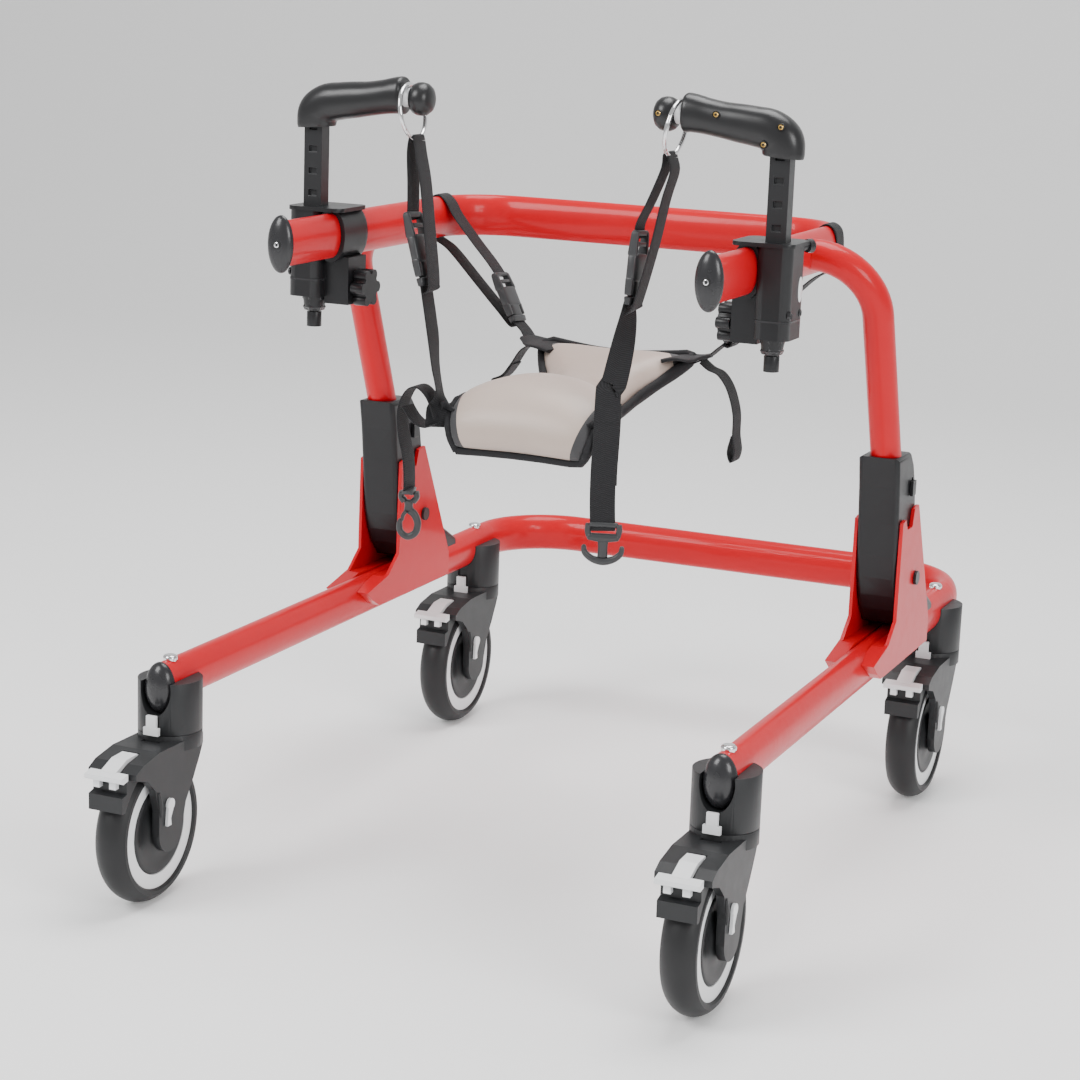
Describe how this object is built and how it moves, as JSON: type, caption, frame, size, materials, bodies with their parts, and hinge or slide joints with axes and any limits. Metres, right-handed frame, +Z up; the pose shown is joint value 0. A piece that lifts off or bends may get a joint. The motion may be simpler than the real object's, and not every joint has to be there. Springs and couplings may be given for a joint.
{
  "type": "wheeled walking frame",
  "caption": "Wheeled walking frame: U-shaped base on swivel casters, folding telescopic uprights, adjustable hand grips and a saddle sling hung on webbing straps.",
  "frame": {"origin": "on the floor at the middle of the overall footprint", "axes": "+Z up, +Y towards the rear crossbar of the base, +X to the right seen from the open front"},
  "size_m": [0.648, 0.961, 0.803],
  "materials": {
    "red_paint": "gloss",
    "dark_plastic": "satin",
    "grip_rubber": "matte",
    "dark_metal": "satin",
    "chrome_steel": "polished",
    "screw_black": "satin",
    "vinyl": "satin",
    "webbing": "matte",
    "caster_plastic": "satin",
    "tyre_grey": "matte",
    "white_plastic": "satin",
    "axle_steel": "satin"
  },
  "bodies": {
    "base": {"base_tube": "red_paint", "gusset_plates": "red_paint", "rail_end_caps": "dark_plastic", "caster_bolts": "chrome_steel", "pivot_screws": "screw_black", "front_left_socket": "caster_plastic", "front_right_socket": "caster_plastic", "rear_left_socket": "caster_plastic", "rear_right_socket": "caster_plastic"},
    "sleeves": {"left_sleeve": "dark_plastic", "right_sleeve": "dark_plastic"},
    "left_latch": {"left_latch": "dark_plastic"},
    "right_latch": {"right_latch": "dark_plastic"},
    "upper": {"upper_loop": "red_paint", "upright_posts": "red_paint", "arm_end_caps": "dark_plastic", "left_clamp": "dark_plastic", "right_clamp": "dark_plastic", "saddle_pad": "vinyl", "front_left_strap": "webbing", "front_right_strap": "webbing", "rear_straps": "webbing"},
    "left_handle": {"left_handle_post": "dark_metal", "left_grip": "grip_rubber", "left_ring": "chrome_steel"},
    "left_knob": {"left_knob": "dark_plastic"},
    "left_plunger": {"left_plunger": "dark_plastic"},
    "right_handle": {"right_handle_post": "dark_metal", "right_grip": "grip_rubber", "right_ring": "chrome_steel"},
    "right_knob": {"right_knob": "dark_plastic"},
    "right_plunger": {"right_plunger": "dark_plastic"},
    "front_left_swivel": {"front_left_fork": "caster_plastic", "front_left_axle": "axle_steel"},
    "front_left_wheel": {"front_left_tyre": "tyre_grey", "front_left_wheel_core": "white_plastic"},
    "front_left_brake": {"front_left_brake_lever": "white_plastic"},
    "front_left_lock": {"front_left_swivel_lock": "white_plastic"},
    "front_left_drag": {"front_left_drag_lever": "white_plastic"},
    "front_right_swivel": {"front_right_fork": "caster_plastic", "front_right_axle": "axle_steel"},
    "front_right_wheel": {"front_right_tyre": "tyre_grey", "front_right_wheel_core": "white_plastic"},
    "front_right_brake": {"front_right_brake_lever": "white_plastic"},
    "front_right_lock": {"front_right_swivel_lock": "white_plastic"},
    "front_right_drag": {"front_right_drag_lever": "white_plastic"},
    "rear_left_swivel": {"rear_left_fork": "caster_plastic", "rear_left_axle": "axle_steel"},
    "rear_left_wheel": {"rear_left_tyre": "tyre_grey", "rear_left_wheel_core": "white_plastic"},
    "rear_left_brake": {"rear_left_brake_lever": "white_plastic"},
    "rear_left_lock": {"rear_left_swivel_lock": "white_plastic"},
    "rear_left_drag": {"rear_left_drag_lever": "white_plastic"},
    "rear_right_swivel": {"rear_right_fork": "caster_plastic", "rear_right_axle": "axle_steel"},
    "rear_right_wheel": {"rear_right_tyre": "tyre_grey", "rear_right_wheel_core": "white_plastic"},
    "rear_right_brake": {"rear_right_brake_lever": "white_plastic"},
    "rear_right_lock": {"rear_right_swivel_lock": "white_plastic"},
    "rear_right_drag": {"rear_right_drag_lever": "white_plastic"}
  },
  "joints": [
    {"name": "fold", "type": "hinge", "parent": "base", "child": "sleeves", "pos_m": [0, 0.1455, 0.292], "axis": [1, 0, 0], "range_deg": [0, 40]},
    {"name": "height_adjust", "type": "slide", "parent": "sleeves", "child": "upper", "axis": [0, -0.3795, 0.9252], "range_m": [-0.06, 0.075]},
    {"name": "left_handle_height", "type": "slide", "parent": "upper", "child": "left_handle", "axis": [0, 0, 1], "range_m": [-0.028, 0.025], "deforming": ["front_left_strap"]},
    {"name": "right_handle_height", "type": "slide", "parent": "upper", "child": "right_handle", "axis": [0, 0, 1], "range_m": [-0.028, 0.025], "deforming": ["front_right_strap"]},
    {"name": "front_left_swivel", "type": "hinge", "parent": "base", "child": "front_left_swivel", "pos_m": [-0.292, -0.3615, 0.158], "axis": [0, 0, 1], "continuous": true},
    {"name": "front_right_swivel", "type": "hinge", "parent": "base", "child": "front_right_swivel", "pos_m": [0.292, -0.3615, 0.158], "axis": [0, 0, 1], "continuous": true},
    {"name": "rear_left_swivel", "type": "hinge", "parent": "base", "child": "rear_left_swivel", "pos_m": [-0.292, 0.3425, 0.158], "axis": [0, 0, 1], "continuous": true},
    {"name": "rear_right_swivel", "type": "hinge", "parent": "base", "child": "rear_right_swivel", "pos_m": [0.292, 0.3425, 0.158], "axis": [0, 0, 1], "continuous": true},
    {"name": "front_left_wheel", "type": "hinge", "parent": "front_left_swivel", "child": "front_left_wheel", "pos_m": [-0.292, -0.4035, 0.075], "axis": [1, 0, 0], "continuous": true},
    {"name": "front_right_wheel", "type": "hinge", "parent": "front_right_swivel", "child": "front_right_wheel", "pos_m": [0.292, -0.4035, 0.075], "axis": [1, 0, 0], "continuous": true},
    {"name": "rear_left_wheel", "type": "hinge", "parent": "rear_left_swivel", "child": "rear_left_wheel", "pos_m": [-0.292, 0.3005, 0.075], "axis": [1, 0, 0], "continuous": true},
    {"name": "rear_right_wheel", "type": "hinge", "parent": "rear_right_swivel", "child": "rear_right_wheel", "pos_m": [0.292, 0.3005, 0.075], "axis": [1, 0, 0], "continuous": true},
    {"name": "front_left_brake", "type": "hinge", "parent": "front_left_swivel", "child": "front_left_brake", "pos_m": [-0.292, -0.4355, 0.156], "axis": [1, 0, 0], "range_deg": [0, 3.5]},
    {"name": "front_right_brake", "type": "hinge", "parent": "front_right_swivel", "child": "front_right_brake", "pos_m": [0.292, -0.4355, 0.156], "axis": [1, 0, 0], "range_deg": [0, 3.5]},
    {"name": "rear_left_brake", "type": "hinge", "parent": "rear_left_swivel", "child": "rear_left_brake", "pos_m": [-0.292, 0.2685, 0.156], "axis": [1, 0, 0], "range_deg": [0, 3.5]},
    {"name": "rear_right_brake", "type": "hinge", "parent": "rear_right_swivel", "child": "rear_right_brake", "pos_m": [0.292, 0.2685, 0.156], "axis": [1, 0, 0], "range_deg": [0, 3.5]},
    {"name": "front_left_swivel_lock", "type": "slide", "parent": "front_left_swivel", "child": "front_left_lock", "axis": [0, 0, 1], "range_m": [-0.007, 0]},
    {"name": "front_right_swivel_lock", "type": "slide", "parent": "front_right_swivel", "child": "front_right_lock", "axis": [0, 0, 1], "range_m": [-0.007, 0]},
    {"name": "rear_left_swivel_lock", "type": "slide", "parent": "rear_left_swivel", "child": "rear_left_lock", "axis": [0, 0, 1], "range_m": [0, 0.007]},
    {"name": "rear_right_swivel_lock", "type": "slide", "parent": "rear_right_swivel", "child": "rear_right_lock", "axis": [0, 0, 1], "range_m": [0, 0.007]},
    {"name": "front_left_drag", "type": "hinge", "parent": "front_left_swivel", "child": "front_left_drag", "pos_m": [-0.2646, -0.4075, 0.104], "axis": [1, 0, 0], "range_deg": [-25, 25]},
    {"name": "front_right_drag", "type": "hinge", "parent": "front_right_swivel", "child": "front_right_drag", "pos_m": [0.3194, -0.4075, 0.104], "axis": [1, 0, 0], "range_deg": [-25, 25]},
    {"name": "rear_left_drag", "type": "hinge", "parent": "rear_left_swivel", "child": "rear_left_drag", "pos_m": [-0.2646, 0.2965, 0.104], "axis": [1, 0, 0], "range_deg": [-25, 25]},
    {"name": "rear_right_drag", "type": "hinge", "parent": "rear_right_swivel", "child": "rear_right_drag", "pos_m": [0.3194, 0.2965, 0.104], "axis": [1, 0, 0], "range_deg": [-25, 25]},
    {"name": "left_latch_slide", "type": "slide", "parent": "sleeves", "child": "left_latch", "axis": [0, 0, 1], "range_m": [0, 0.006], "stiffness_N_per_m": 800},
    {"name": "right_latch_slide", "type": "slide", "parent": "sleeves", "child": "right_latch", "axis": [0, 0, 1], "range_m": [0, 0.006], "stiffness_N_per_m": 800},
    {"name": "left_knob_turn", "type": "hinge", "parent": "upper", "child": "left_knob", "pos_m": [-0.2, -0.1465, 0.59], "axis": [1, 0, 0], "range_deg": [-180, 180]},
    {"name": "right_knob_turn", "type": "hinge", "parent": "upper", "child": "right_knob", "pos_m": [0.2, -0.1465, 0.59], "axis": [1, 0, 0], "range_deg": [-180, 180]},
    {"name": "left_plunger_pull", "type": "slide", "parent": "upper", "child": "left_plunger", "axis": [0, 0, -1], "range_m": [0, 0.006], "stiffness_N_per_m": 600},
    {"name": "right_plunger_pull", "type": "slide", "parent": "upper", "child": "right_plunger", "axis": [0, 0, -1], "range_m": [0, 0.006], "stiffness_N_per_m": 600}
  ]
}
